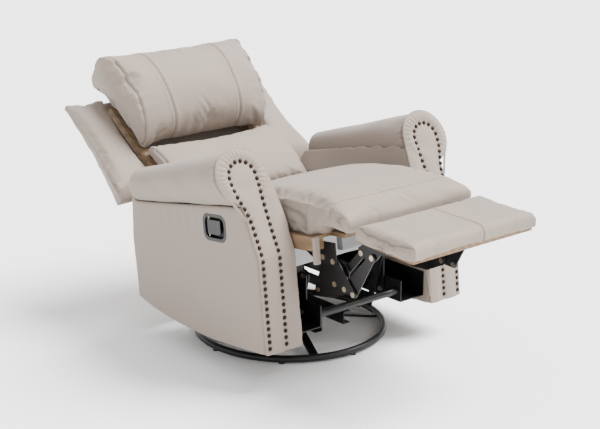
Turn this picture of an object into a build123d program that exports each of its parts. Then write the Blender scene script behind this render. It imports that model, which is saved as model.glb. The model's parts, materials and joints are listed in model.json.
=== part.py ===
"""Swivel glider nursery chair, fully reclined, with its footrest out. Millimetres, +Z up.

X runs across the chair, and the sitter's left is +X. The front faces -Y and the floor is Z = 0.
FLOOR is the upright frame on the swivel axis. BODY is the frame of the upholstered body, which
leans back by body_lean. BACK leans further by back_lean, and FOOT lies along the footrest.
In every frame a point is (x, y, z), with y to the rear and z up.
"""
from build123d import *
from math import atan2, cos, degrees, hypot, radians, sin
import os

# ---------------------------------------------------------------- driving dimensions
# Swivel base
ring_radius = 294.0         # middle of the ring's tube
ring_tube = 22.0            # diameter of the ring's tube
glide_height = 3.0          # the ring's tube stands this high above the floor
glide_count = 8
spoke_count = 4
spoke_width = 25.0
spoke_thickness = 8.0
spoke_turn = 65.0           # angle of the first spoke from +X
hub_height = 46.0           # top of the spokes, where the lower race sits
race_radius = 75.0
race_thickness = 6.0
race_gap = 0.5
swivel_bolt_radius = 10.0

# Glider: hangers stand on the turntable, and the body hangs from them on four equal links
hanger_gap = 112.0          # an arm's inner face to a hanger's inner face
hanger_thickness = 4.0
link_length = 110.0
link_thickness = 4.0
link_half_width = 15.0
glider_front_y = -245.0     # front top pivot
glider_rear_y = 175.0       # rear top pivot
glider_top_z = 272.0        # height of the top pivots
turntable_tube_radius = 12.0
turntable_tube_z = 110.0
tube_front_y = -190.0
tube_rear_y = 120.0

# Upholstered body
body_lean = 6.6             # degrees
arm_outer = 390.0           # middle of the chair to an arm's outer panel
arm_thickness = 132.0
arm_front_y = -367.0
arm_bottom_z = 75.0
arm_rear_bottom_z = 154.0
arm_rear_y = 250.0
knee_z = 351.0              # where the arm's front turns back
roll_front_y = -284.0       # middle of the roll's front disc
roll_front_z = 570.0
roll_front_radius = 86.0
roll_rear_y = 228.0
roll_rear_z = 503.0
roll_rear_radius = 52.0
roll_inset = 31.0           # the roll's axis to the arm's outer panel
panel_wall = 12.0           # padding and cover of the arm's walls
board = 15.0                # frame boards inside the arms
front_pad = 8.0             # padded facing on the arm's front
nail_radius = 6.0
nail_height = 2.6
nail_pitch = 19.0

# Seat
seat_clearance = 4.0        # between the cushion and an arm
deck_z = 397.0              # top of the seat's frame
rail_height = 40.0
cushion_bottom_z = deck_z
cushion_rear_y = 105.0
nose_y = -600.0             # front of the seat cushion
seat_travel = 100.0         # the seat runs forward this far as the back reclines

# Footrest linkage, in the BODY frame (y, z)
mechanism_inset = 52.0      # an arm's inner face to the seat's side plate
leaf = 3.0                  # thickness of every link and plate
leaf_gap = 3.0
crank_pivot = (-433.0, 332.0)
crank_vector = (-67.0, -87.0)       # crank pivot to carrier pivot
carrier_vector = (-120.0, 105.0)    # carrier pivot to footrest pivot
rocker_offset = (-41.0, -8.0)        # crank pivot to rocker pivot
tie_offset = (47.5, 6.9)            # footrest pivot to tie pivot
footrest_turn = 76.0                # degrees from open to closed
rivet_radius = 5.0
running_clearance = 0.05
open_pivot_clearance = 1.0

# Footrest
foot_rear = (-605.0, 400.0)         # rear lower edge, in the BODY frame
foot_fall = 9.2                     # the footrest's front falls away by this many degrees
foot_length = 225.0
foot_side_gap = 10.0          # the footrest's side to an arm's inner face
foot_thickness = 46.0
foot_board = 12.0

# Back
back_foot = (285.0, 488.0)          # front foot of the wings, in the BODY frame
back_lean = 48.0                    # degrees from the BODY frame's upright
back_travel = 32.0                  # degrees that the back rises
back_hinge = (115.0, 330.0)         # in the BODY frame
wing_overhang = 10.0          # the wings stand out past the arm panels
wing_height = 380.0
wing_depth_foot = 72.0
wing_depth_top = 26.0
pillow_base = 115.0                 # height of the crease under the head pillow
pillow_top = 453.0
pillow_depth = 157.0
pillow_overlap = 1.0          # the pillow's foot is this much wider than the sitting space
pillow_flare = 25.0           # and its top is wider still, each side
lumbar_foot = -133.0

# Release lever on the right arm
bezel_y = -184.5
bezel_z = 422.0
bezel_length = 107.0
bezel_height = 80.0
bezel_rim = 7.0
bezel_depth = 17.0
lever_length = 58.0

# ---------------------------------------------------------------- worked out from them
arm_inner = arm_outer - arm_thickness
foot_half_width = arm_inner - foot_side_gap
wing_outer = arm_outer + wing_overhang
pillow_half_base = arm_inner + pillow_overlap
pillow_half_top = pillow_half_base + pillow_flare
roll_x = arm_outer - roll_inset
hanger_x = arm_inner - hanger_gap
link_x = hanger_x + hanger_thickness + 3.5
web_x = link_x + link_thickness + 2.5
web = 3.0
plate_x = arm_inner - mechanism_inset
rocker_x = plate_x - leaf_gap - leaf      # rockers, and the back's brackets
carrier_x = rocker_x - leaf_gap - leaf
crank_x = carrier_x - leaf_gap - leaf     # cranks, and the footrest's brackets
tie_x = crank_x - leaf_gap - leaf
glider_low_z = glider_top_z - link_length
arm_reach = hypot(roll_front_y - arm_front_y, roll_front_z - knee_z)
arm_lean = degrees(atan2(roll_front_y - arm_front_y, roll_front_z - knee_z))
ring_z = glide_height + ring_tube / 2
shaft = rivet_radius


def leaned(base, y, z, back):
    """A frame at (y, z) of the base frame, leaned back by an angle in degrees."""
    turn = radians(back)
    up = base.y_dir * sin(turn) + base.z_dir * cos(turn)
    return Plane(base.from_local_coords((0, y, z)), x_dir=base.x_dir, z_dir=up)


def frames(swivel_y):
    """The four frames, with the swivel axis at swivel_y."""
    floor = Plane((0, swivel_y, 0), x_dir=(1, 0, 0), z_dir=(0, 0, 1))
    body = leaned(floor, 0, 0, body_lean)
    back = leaned(body, back_foot[0], back_foot[1], back_lean)
    foot = leaned(body, foot_rear[0], foot_rear[1], -foot_fall)
    return floor, body, back, foot


def centred_swivel():
    """Where the swivel axis stands, so that the chair's box is centred on Y = 0."""
    _, _, back, foot = frames(0)
    front = foot.from_local_coords((0, -foot_length, foot_thickness / 2)).Y
    rear = back.from_local_coords((0, -20, pillow_top)).Y
    return -(front + rear) / 2


FLOOR, BODY, BACK, FOOT = frames(centred_swivel())


def side_plane(frame, x):
    """Sketches (y, z) of the frame at x, and faces +X."""
    return Plane(frame.from_local_coords((x, 0, 0)), x_dir=frame.y_dir, z_dir=frame.x_dir)


def face_plane(frame, y):
    """Sketches (x, z) of the frame at y, and faces the front."""
    return Plane(frame.from_local_coords((0, y, 0)), x_dir=frame.x_dir, z_dir=-frame.y_dir)


def level_plane(frame, z):
    """Sketches (x, y) of the frame at z, and faces up."""
    return Plane(frame.from_local_coords((0, 0, z)), x_dir=frame.x_dir, z_dir=frame.z_dir)


def in_frame(frame, base, point):
    """(y, z) of a point of the base frame, measured in another frame."""
    local = frame.to_local_coords(base.from_local_coords((0, point[0], point[1])))
    return (local.Y, local.Z)


def shifted(point, step):
    """A (y, z) pair moved by another."""
    return (point[0] + step[0], point[1] + step[1])


def keep(piece, name):
    """Labels a finished piece and writes it."""
    piece.part.label = name
    export_step(piece.part, f"parts/{name}.step")


carrier_pivot = shifted(crank_pivot, crank_vector)
foot_pivot = shifted(carrier_pivot, carrier_vector)
rocker_pivot = shifted(crank_pivot, rocker_offset)
carrier_rocker_pivot = shifted(carrier_pivot, rocker_offset)
tie_pivot = shifted(carrier_pivot, tie_offset)
foot_tie_pivot = shifted(foot_pivot, tie_offset)
SIDES = (-1, 1)


def stepped_pin(frame, y, z, side, spans):
    """Inside a BuildPart: a pin along X, as (from x, to x, radius) spans."""
    for start, end, radius in spans:
        with BuildSketch(side_plane(frame, side * start)) as outline:
            with Locations((y, z)):
                Circle(radius)
        extrude(outline.sketch, amount=side * (end - start))


def leaf_bar(frame, x, thickness, bosses, holes):
    """Inside a BuildPart: a flat bar at +-x, the hull of its bosses (y, z, r), with holes."""
    for side in SIDES:
        with BuildSketch(side_plane(frame, side * x)) as outline:
            for y, z, radius in bosses:
                with Locations((y, z)):
                    Circle(radius)
            make_hull()
            for y, z, radius in holes:
                with Locations((y, z)):
                    Circle(radius, mode=Mode.SUBTRACT)
        extrude(outline.sketch, amount=side * thickness)


def upright_box(frame, x0, x1, y0, y1, z0, z1):
    """Inside a BuildPart: a box between two corners of a frame."""
    with BuildSketch(level_plane(frame, z0)) as outline:
        with Locations(((x0 + x1) / 2, (y0 + y1) / 2)):
            Rectangle(abs(x1 - x0), abs(y1 - y0))
    extrude(outline.sketch, amount=z1 - z0)


# ---------------------------------------------------------------- swivel base
def make_ring():
    with BuildPart() as base_ring:
        with BuildSketch(side_plane(FLOOR, 0)):
            with Locations((ring_radius, ring_z)):
                Circle(ring_tube / 2)
        revolve(axis=Axis(FLOOR.origin, (0, 0, 1)))
    return base_ring


def make_spokes(base_ring):
    low = ring_z - spoke_thickness / 2
    high = low + spoke_thickness
    underside = hub_height - spoke_thickness
    knee = ring_radius - 24
    end = ring_radius - 4
    eye = swivel_bolt_radius + 8
    with BuildPart() as base_spokes:
        for count in range(spoke_count):
            turn = radians(spoke_turn + 360 / spoke_count * count)
            plane = Plane(FLOOR.origin, x_dir=(cos(turn), sin(turn), 0),
                          z_dir=(sin(turn), -cos(turn), 0))
            with BuildSketch(plane):
                Polygon((eye, underside), (race_radius, underside), (knee, low), (end, low),
                        (end, high), (knee + 2, high), (race_radius + 2, hub_height),
                        (eye, hub_height))
            extrude(amount=spoke_width / 2, both=True)
        add(base_ring.part, mode=Mode.SUBTRACT)
    return base_spokes


def make_floor_glides(base_ring):
    with BuildPart() as base_glides:
        with BuildSketch(FLOOR):
            with PolarLocations(ring_radius, glide_count):
                Circle(9)
        extrude(amount=glide_height + 4)
        add(base_ring.part, mode=Mode.SUBTRACT)
    return base_glides


def make_lower_race():
    with BuildPart() as swivel_lower_race:
        with BuildSketch(level_plane(FLOOR, hub_height)):
            Circle(race_radius)
            Circle(swivel_bolt_radius, mode=Mode.SUBTRACT)
        extrude(amount=race_thickness)
    return swivel_lower_race


upper_race_z = hub_height + race_thickness + race_gap
turntable_z = upper_race_z + race_thickness


def make_swivel_bolt():
    with BuildPart() as swivel_bolt:
        with BuildSketch(level_plane(FLOOR, hub_height - spoke_thickness + 1)):
            Circle(swivel_bolt_radius + 6)
        extrude(amount=spoke_thickness - 1)
        with BuildSketch(level_plane(FLOOR, hub_height)):
            Circle(swivel_bolt_radius)
        extrude(amount=turntable_z - hub_height + race_gap)
        with BuildSketch(level_plane(FLOOR, turntable_z + race_gap)):
            RegularPolygon(swivel_bolt_radius + 6, 6)
        extrude(amount=9)
    return swivel_bolt


# ---------------------------------------------------------------- turntable and hangers
rail_x = 0.3 * hanger_x
rail_top = turntable_tube_z - turntable_tube_radius


def make_upper_race():
    with BuildPart() as swivel_upper_race:
        with BuildSketch(level_plane(FLOOR, upper_race_z)):
            Circle(race_radius)
            Circle(swivel_bolt_radius + running_clearance, mode=Mode.SUBTRACT)
        extrude(amount=race_thickness)
    return swivel_upper_race


def make_turntable_rails():
    """Two channels that join the upper race to the cross tubes."""
    front = tube_front_y - turntable_tube_radius
    rear = tube_rear_y + turntable_tube_radius
    inner = rail_x + web
    outer = rail_x + 26
    with BuildPart() as turntable_rails:
        for side in SIDES:
            with BuildSketch(face_plane(FLOOR, front)):
                Polygon((side * rail_x, turntable_z), (side * outer, turntable_z),
                        (side * outer, turntable_z + web), (side * inner, turntable_z + web),
                        (side * inner, rail_top - web), (side * outer, rail_top - web),
                        (side * outer, rail_top), (side * rail_x, rail_top))
            extrude(amount=front - rear)
    return turntable_rails


def make_turntable_tubes():
    with BuildPart() as turntable_tubes:
        for y in (tube_front_y, tube_rear_y):
            with BuildSketch(side_plane(FLOOR, 0)):
                with Locations((y, turntable_tube_z)):
                    Circle(turntable_tube_radius)
                    Circle(turntable_tube_radius - 2, mode=Mode.SUBTRACT)
            extrude(amount=hanger_x, both=True)
    return turntable_tubes


def make_hanger_brackets():
    """A plate each side, with an arm up to each top pivot and a hole behind the front arm's root."""
    boss = 18.0
    low = turntable_tube_z - turntable_tube_radius - 4
    high = turntable_tube_z + turntable_tube_radius + 8
    with BuildPart() as hanger_brackets:
        for side in SIDES:
            with BuildSketch(side_plane(FLOOR, side * hanger_x)):
                Polygon((tube_front_y - 24, low), (tube_rear_y + 16, low),
                        (glider_rear_y + boss, glider_top_z - 4), (glider_rear_y - boss, glider_top_z + 4),
                        (tube_rear_y - 20, high), (tube_front_y + 80, high),
                        (glider_front_y + 14, glider_top_z + 11), (glider_front_y - boss, glider_top_z - 2))
                with Locations((glider_front_y, glider_top_z), (glider_rear_y, glider_top_z)):
                    Circle(boss)
                Polygon((tube_front_y - 13, high + 10), (tube_front_y + 45, high + 10),
                        (glider_front_y + 22, glider_top_z - 57), mode=Mode.SUBTRACT)
                with Locations((glider_front_y, glider_top_z), (glider_rear_y, glider_top_z)):
                    Circle(shaft, mode=Mode.SUBTRACT)
            extrude(amount=side * hanger_thickness)
    return hanger_brackets


def make_hanger_pins():
    outside = hanger_x + hanger_thickness
    spans = ((hanger_x - 4, hanger_x, 9), (hanger_x, link_x + link_thickness + 0.4, shaft),
             (outside, link_x - 0.4, 9), (link_x + link_thickness + 0.4, web_x - 0.5, 8.5))
    with BuildPart() as hanger_pins:
        for side in SIDES:
            for y in (glider_front_y, glider_rear_y):
                stepped_pin(FLOOR, y, glider_top_z, side, spans)
    return hanger_pins


def make_glide_links(y, low_clearance):
    bosses = ((y, glider_top_z, link_half_width), (y, glider_low_z, link_half_width))
    holes = ((y, glider_top_z, shaft + running_clearance), (y, glider_low_z, shaft + low_clearance))
    with BuildPart() as glide_links:
        leaf_bar(FLOOR, link_x, link_thickness, bosses, holes)
    return glide_links


# ---------------------------------------------------------------- body's steel frame
channel_z = glider_low_z - 24
channel_front_y = -330.0
channel_rear_y = 200.0
channel_top = glider_low_z + 43
outer_top = channel_z + 77


def make_base_channel(side):
    """A level channel under the arm: its web takes the lower pivots, its outer wall the arm."""
    wall = arm_inner - web
    with BuildPart() as base_channel:
        with BuildSketch(face_plane(FLOOR, channel_front_y)):
            Polygon((side * web_x, channel_z), (side * arm_inner, channel_z),
                    (side * arm_inner, outer_top), (side * wall, outer_top),
                    (side * wall, channel_z + web), (side * (web_x + web), channel_z + web),
                    (side * (web_x + web), channel_top), (side * web_x, channel_top))
        extrude(amount=channel_front_y - channel_rear_y)
        with BuildSketch(side_plane(FLOOR, side * (web_x - 1))):
            with Locations((glider_front_y, glider_low_z), (glider_rear_y, glider_low_z)):
                Circle(shaft)
        extrude(amount=side * (web + 2), mode=Mode.SUBTRACT)
    return base_channel


def make_lower_glide_pins():
    inside = link_x - 0.4
    spans = ((inside - 1.7, inside, 8.5), (inside, web_x + web, shaft),
             (link_x + link_thickness + 0.4, web_x, 9), (web_x + web, web_x + web + 3, 9))
    with BuildPart() as lower_glide_pins:
        for side in SIDES:
            for y in (glider_front_y, glider_rear_y):
                stepped_pin(FLOOR, y, glider_low_z, side, spans)
    return lower_glide_pins


def make_body_tube():
    """Cross tube that joins the two channels in front of the hangers."""
    with BuildPart() as body_cross_tube:
        with BuildSketch(side_plane(FLOOR, 0)):
            with Locations((channel_front_y + 20, glider_low_z + 8)):
                Circle(11)
                Circle(9, mode=Mode.SUBTRACT)
        extrude(amount=web_x, both=True)
    return body_cross_tube


def make_rear_rail():
    with BuildPart() as rear_rail:
        upright_box(BODY, -arm_inner, arm_inner, arm_rear_y - 28, arm_rear_y - 6, 165, 240)
    return rear_rail


slide_z = deck_z - rail_height - 12


def make_slide_rails():
    """Angles on the arms' inner faces, which the seat's blocks run on."""
    front, rear = -330.0, arm_rear_y - 5
    with BuildPart() as slide_rails:
        for side in SIDES:
            with BuildSketch(face_plane(BODY, front)):
                Polygon((side * arm_inner, slide_z - 40), (side * arm_inner, slide_z),
                        (side * (arm_inner - 30), slide_z), (side * (arm_inner - 30), slide_z - web),
                        (side * (arm_inner - web), slide_z - web), (side * (arm_inner - web), slide_z - 40))
            extrude(amount=front - rear)
    return slide_rails


# ---------------------------------------------------------------- arms
slope_sin = sin(radians(arm_lean))
slope_cos = cos(radians(arm_lean))
inner_roof = roll_rear_z - roll_rear_radius - 15 - panel_wall


def side_outline(inset):
    """Draws an arm's side in (y, z). An inset draws it in all round, and opens it below."""
    drop = 20 if inset else 0
    front = arm_front_y + inset
    rear = arm_rear_y - inset
    roof = inner_roof if inset else roll_rear_z
    peak = inner_roof if inset else roll_front_z
    bend = roll_rear_z - 150
    taper = (arm_rear_y - roll_rear_y) / 125
    top_rear = rear - taper * min(roof - bend, 125)
    with BuildLine() as edges:
        walls = Polyline((arm_front_y + 209, arm_bottom_z + 5 - drop), (front, arm_bottom_z - drop),
                         (front, knee_z), (front + (peak - knee_z) * slope_sin / slope_cos, peak),
                         (top_rear, roof), (rear, bend), (rear, arm_rear_bottom_z - drop))
        TangentArc(walls @ 0, walls @ 1, tangent=Vector(209, 5))
    make_face(edges.edges())


def make_roll(side):
    """The rolled arm top: a taper between a leaned front disc and an upright rear disc."""
    front = leaned(BODY, roll_front_y, roll_front_z, arm_lean)
    rear = leaned(BODY, roll_rear_y, roll_rear_z, 0)
    with BuildPart() as arm_roll:
        for frame, radius in ((front, roll_front_radius), (rear, roll_rear_radius)):
            with BuildSketch(face_plane(frame, 0)):
                with Locations((side * roll_x, 0)):
                    Circle(radius)
        loft()
        rim = arm_roll.edges().sort_by(Axis.Y)[-1]
        fillet(rim, radius=roll_rear_radius * 0.45)
    return arm_roll


def bezel_outline(margin):
    """Draws the lever's cup in (y, z), drawn in by a margin."""
    half = bezel_height / 2 - margin
    with Locations((bezel_y, bezel_z)):
        RectangleRounded(bezel_length - 2 * margin, 2 * half, 0.62 * half)


def make_arm_body(side, arm_roll):
    """Padded and covered walls of an arm, open below, with a sloped shoulder up to the roll."""
    with BuildPart() as shoulder:
        for y, z, radius, back, step in ((roll_front_y, roll_front_z, roll_front_radius, arm_lean, -40),
                                         (roll_rear_y, roll_rear_z, roll_rear_radius, 0, 40)):
            with BuildSketch(face_plane(leaned(BODY, y, z, back), step)):
                Polygon((side * (arm_inner - 9), -1.3 * radius), (side * arm_inner, -1.3 * radius),
                        (side * (roll_x - radius), 0), (side * (roll_x - radius), 30),
                        (side * (arm_inner - 9), 30))
        loft(ruled=True)
    with BuildPart() as arm_body:
        with BuildSketch(side_plane(BODY, side * arm_inner)):
            side_outline(0)
        extrude(amount=side * arm_thickness)
        with BuildSketch(side_plane(BODY, side * (arm_inner + panel_wall))):
            side_outline(panel_wall)
        extrude(amount=side * (arm_thickness - 2 * panel_wall), mode=Mode.SUBTRACT)
        add(arm_roll.part, mode=Mode.SUBTRACT)
        add(shoulder.part, mode=Mode.SUBTRACT)
        if side < 0:
            with BuildSketch(side_plane(BODY, side * (arm_outer - bezel_depth))):
                bezel_outline(bezel_rim)
            extrude(amount=side * (bezel_depth + 1), mode=Mode.SUBTRACT)
    return arm_body


def make_arm_frame(side):
    """Frame boards inside an arm: two sides, a front post, a rear post and a top board."""
    inner = arm_inner + panel_wall
    outer = arm_outer - panel_wall
    front = arm_front_y + panel_wall
    rear = roll_rear_y - panel_wall
    low = arm_rear_bottom_z + 2
    bend = (inner_roof - knee_z) * slope_sin / slope_cos
    with BuildPart() as arm_frame:
        for start in (inner, outer - board):
            with BuildSketch(side_plane(BODY, side * start)):
                Polygon((front + board, low), (rear, low), (rear, inner_roof),
                        (front + board + bend, inner_roof), (front + board, knee_z))
            extrude(amount=side * board)
        upright_box(BODY, side * inner, side * outer, front, front + board, low - 60, knee_z)
        upright_box(BODY, side * (inner + board), side * (outer - board), rear - board, rear,
                    low, inner_roof)
        upright_box(BODY, side * (inner + board), side * (outer - board), front + board + bend, rear,
                    inner_roof - board, inner_roof)
        if side < 0:
            with BuildSketch(side_plane(BODY, side * (arm_outer - bezel_depth))):
                bezel_outline(bezel_rim)
            extrude(amount=side * bezel_depth, mode=Mode.SUBTRACT)
    return arm_frame


def make_arm_front(side):
    """The padded facing: upright to the knee, then leaned back and round over the roll."""
    sheet = front_pad / slope_cos
    top = arm_reach + roll_front_radius + 5
    slant = leaned(BODY, arm_front_y, knee_z, arm_lean)
    corner = front_pad * (1 - slope_cos) / slope_sin
    crown = in_frame(BODY, slant, (0, top))
    crown_front = in_frame(BODY, slant, (-front_pad, top))
    bottom = arm_bottom_z
    with BuildPart() as arm_front:
        with BuildSketch(side_plane(BODY, side * arm_inner)):
            Polygon((arm_front_y, bottom), (arm_front_y, knee_z), crown, crown_front,
                    (arm_front_y - front_pad, knee_z + corner), (arm_front_y - front_pad, bottom))
        extrude(amount=side * (arm_thickness + roll_front_radius))
        with BuildSketch(face_plane(slant, 0)):
            with Locations((side * roll_x, arm_reach)):
                Circle(roll_front_radius)
            Polygon((side * arm_inner, bottom - knee_z - 40), (side * arm_outer, bottom - knee_z - 40),
                    (side * arm_outer, arm_reach - 74), (side * roll_x, arm_reach),
                    (side * (roll_x - roll_front_radius), arm_reach),
                    (side * (arm_inner + 6), arm_reach - 44), (side * arm_inner, arm_reach - 114))
        extrude(amount=160, both=True, mode=Mode.INTERSECT)
    return arm_front


def make_nailheads(side):
    """Domed nails up the outer edge of the facing, over the roll and down again inside."""
    outer_x, inner_x = arm_outer - 13, arm_outer - 73
    arch = roll_front_radius - 40
    lowest = arm_bottom_z - knee_z + 20
    straight = arm_reach - 144
    with BuildLine() as route:
        up = Line((outer_x, lowest), (outer_x, straight))
        flare = Spline(up @ 1, (roll_x + arch, arm_reach), tangents=((0, 1), (0, 1)))
        over = ThreePointArc(flare @ 1, (roll_x, arm_reach + arch), (roll_x - arch, arm_reach))
        back_in = Spline(over @ 1, (inner_x, straight), tangents=((0, -1), (0, -1)))
        Line(back_in @ 1, (inner_x, lowest))
    line = route.wires()[0]
    count = round(line.length / nail_pitch)
    slant = leaned(BODY, arm_front_y, knee_z, arm_lean)
    places = []
    for step in range(count + 1):
        point = line.position_at(step / count)
        if abs(point.Y) < nail_radius:
            continue
        if point.Y < 0:
            plane = face_plane(BODY, arm_front_y - front_pad)
            spot = plane.from_local_coords((side * point.X, knee_z + point.Y, 0))
        else:
            plane = face_plane(slant, -front_pad)
            spot = plane.from_local_coords((side * point.X, point.Y, 0))
        places.append(Plane(spot, x_dir=plane.x_dir, z_dir=plane.z_dir).location)
    with BuildPart() as nail:
        with BuildSketch(Plane.XY):
            Circle(nail_radius)
        extrude(amount=nail_height)
        fillet(nail.edges().group_by(Axis.Z)[-1], radius=0.9 * nail_height)
    with BuildPart() as nailheads:
        with Locations(*places):
            add(nail.part)
    return nailheads


# ---------------------------------------------------------------- release lever
lever_axis_y = bezel_y + bezel_length / 2 - bezel_rim - 13
lever_axis_x = arm_outer - 4.5
lever_knuckle = 5.5
lever_half = bezel_height / 2 - 19
lever_pin_radius = 2.5


def lever_cylinder(radius, half):
    """Inside a BuildPart: a cylinder on the lever's axis."""
    with BuildSketch(level_plane(BODY, bezel_z - half)) as outline:
        with Locations((-lever_axis_x, lever_axis_y)):
            Circle(radius)
    extrude(outline.sketch, amount=2 * half)


def make_lever_pin():
    with BuildPart() as lever_pin:
        lever_cylinder(lever_pin_radius, bezel_height / 2 - 10.2)
    return lever_pin


def make_bezel(lever_pin):
    """A rim on the outer panel round a shallow cup that holds the lever's pin."""
    floor_x = -(arm_outer - bezel_depth)
    with BuildPart() as lever_bezel:
        with BuildSketch(side_plane(BODY, -arm_outer)):
            bezel_outline(0)
        extrude(amount=-3)
        with BuildSketch(side_plane(BODY, floor_x)):
            bezel_outline(bezel_rim)
        extrude(amount=-bezel_depth)
        with BuildSketch(side_plane(BODY, floor_x - 2.5)):
            bezel_outline(bezel_rim + 2.5)
        extrude(amount=-(bezel_depth + 4), mode=Mode.SUBTRACT)
        add(lever_pin.part, mode=Mode.SUBTRACT)
    return lever_bezel


def make_release_lever():
    """A flap on a knuckle at its rear edge. Fingers go in behind its front edge."""
    front = lever_axis_y - lever_length
    with BuildPart() as release_lever:
        with BuildSketch(side_plane(BODY, -(lever_axis_x + lever_knuckle))):
            with Locations(((front + lever_axis_y) / 2, bezel_z)):
                Rectangle(lever_length, 2 * lever_half)
        extrude(amount=5)
        fillet(release_lever.edges().filter_by(Axis.X).group_by(Axis.Y)[0], radius=9)
        lever_cylinder(lever_knuckle, lever_half)
        with BuildSketch(level_plane(BODY, bezel_z - lever_half - 1)):
            with Locations((-lever_axis_x, lever_axis_y)):
                Circle(lever_pin_radius + running_clearance)
        extrude(amount=2 * lever_half + 2, mode=Mode.SUBTRACT)
    return release_lever


# ---------------------------------------------------------------- seat
frame_bottom = deck_z - rail_height
plate_top = deck_z - 19
seat_half = arm_inner - seat_clearance
tube_places = ((crank_pivot[0] + 171, crank_pivot[1] + 20), (back_hinge[0] - 55, back_hinge[1] - 5))
seat_tube_radius = 10.0
ledge_half = tie_x - 10
rail_front_y = crank_pivot[0] - 7
cross_front_y = crank_pivot[0] + 3
cross_rear_y = back_hinge[0] - 55


def make_seat_side_plate(side):
    hy, hz = back_hinge
    cy, cz = crank_pivot
    with BuildPart() as seat_side_plate:
        with BuildSketch(side_plane(BODY, side * plate_x)):
            Polygon((rocker_pivot[0] - 14, plate_top), (rocker_pivot[0] - 14, rocker_pivot[1] - 8),
                    (rocker_pivot[0] + 4, rocker_pivot[1] - 14), (cy - 7, cz - 22),
                    (cy + 18, cz - 20), (cy + 73, cz + 8), (hy - 40, hz + 10), (hy - 22, hz - 22),
                    (hy + 22, hz - 22), (hy + 28, plate_top))
            with Locations(crank_pivot, rocker_pivot, back_hinge):
                Circle(shaft, mode=Mode.SUBTRACT)
        extrude(amount=side * leaf)
    return seat_side_plate


def make_seat_frame(plates):
    """Side rails, two cross rails and a front ledge, notched round the side plates."""
    inner = plate_x + leaf
    ledge_z = deck_z - 12
    with BuildPart() as seat_frame:
        for side in SIDES:
            upright_box(BODY, side * inner, side * (seat_half - 2), rail_front_y, back_hinge[0] + 35,
                        frame_bottom, deck_z)
        upright_box(BODY, -inner, inner, cross_rear_y, cross_rear_y + 25, frame_bottom, deck_z)
        upright_box(BODY, -inner, inner, cross_front_y, cross_front_y + 25, ledge_z, deck_z)
        upright_box(BODY, -ledge_half, ledge_half, cross_front_y - 60, cross_front_y, ledge_z, deck_z)
        for plate in plates:
            add(plate.part, mode=Mode.SUBTRACT)
    return seat_frame


def make_seat_front_rail():
    with BuildPart() as seat_front_rail:
        upright_box(BODY, -ledge_half, ledge_half, rail_front_y - 37, rail_front_y - 12,
                    deck_z - 50, deck_z - 12)
    return seat_front_rail


def make_seat_lining():
    """A sheet that hangs across the seat from its front tube."""
    y = tube_places[0][0] - seat_tube_radius
    with BuildPart() as seat_lining:
        upright_box(BODY, -(plate_x - 2), plate_x - 2, y - 2, y, tube_places[0][1] - 76,
                    tube_places[0][1] + 32)
    return seat_lining


def make_seat_end_panels():
    with BuildPart() as seat_end_panels:
        for side in SIDES:
            upright_box(BODY, side * (seat_half - 22), side * seat_half, rail_front_y - 12, rail_front_y,
                        deck_z - 78, deck_z)
    return seat_end_panels


def make_slide_blocks():
    with BuildPart() as slide_blocks:
        for side in SIDES:
            for y in (-250.0, back_hinge[0] - 15):
                upright_box(BODY, side * (arm_inner - 28), side * (seat_half - 2), y, y + 40,
                            slide_z + 0.3, frame_bottom)
    return slide_blocks


def make_seat_tubes():
    with BuildPart() as seat_cross_tubes:
        for place in tube_places:
            with BuildSketch(side_plane(BODY, 0)):
                with Locations(place):
                    Circle(seat_tube_radius)
                    Circle(seat_tube_radius - 2, mode=Mode.SUBTRACT)
            extrude(amount=plate_x, both=True)
    return seat_cross_tubes


spring_count = 5
spring_wire = 1.9
spring_turns = 18
spring_pitch = 75.0


def make_seat_springs():
    """Zigzag springs from the front cross rail to the rear one."""
    front = cross_front_y + 25
    pitch = (cross_rear_y - front) / spring_turns
    points = [(0, front), (0, front + 7)]
    for turn in range(spring_turns):
        points.append((16 * (-1) ** turn, front + pitch * (turn + 0.5)))
    points += [(0, cross_rear_y - 7), (0, cross_rear_y)]
    with BuildPart() as spring:
        with BuildLine(level_plane(BODY, deck_z - 8)) as path:
            FilletPolyline(*points, radius=5)
        with BuildSketch(Plane(path.line @ 0, z_dir=path.line % 0)):
            Circle(spring_wire)
        sweep(path=path.wires()[0])
    with BuildPart() as seat_springs:
        with GridLocations(spring_pitch, 1, spring_count, 1):
            add(spring.part)
    return seat_springs


def make_seat_rivets():
    """Rivets in the side plates: crank and back hinges, and the rockers' longer ones."""
    outside = plate_x + leaf
    hinge_spans = ((outside, outside + leaf, 8), (rocker_x - 2.4, outside, shaft),
                   (rocker_x + leaf + 0.3, plate_x, 8), (rocker_x - 2.4, rocker_x - 0.3, 8))
    crank_spans = ((outside, outside + leaf, 8), (crank_x - 2.4, outside, shaft),
                   (rocker_x + leaf + 0.3, plate_x, 8), (crank_x + leaf + 0.3, carrier_x - 0.3, 8),
                   (crank_x - 2.4, crank_x - 0.3, 8))
    with BuildPart() as seat_rivets:
        for side in SIDES:
            stepped_pin(BODY, *crank_pivot, side, crank_spans)
            stepped_pin(BODY, *back_hinge, side, hinge_spans)
            stepped_pin(BODY, *rocker_pivot, side, hinge_spans)
    return seat_rivets


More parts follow.
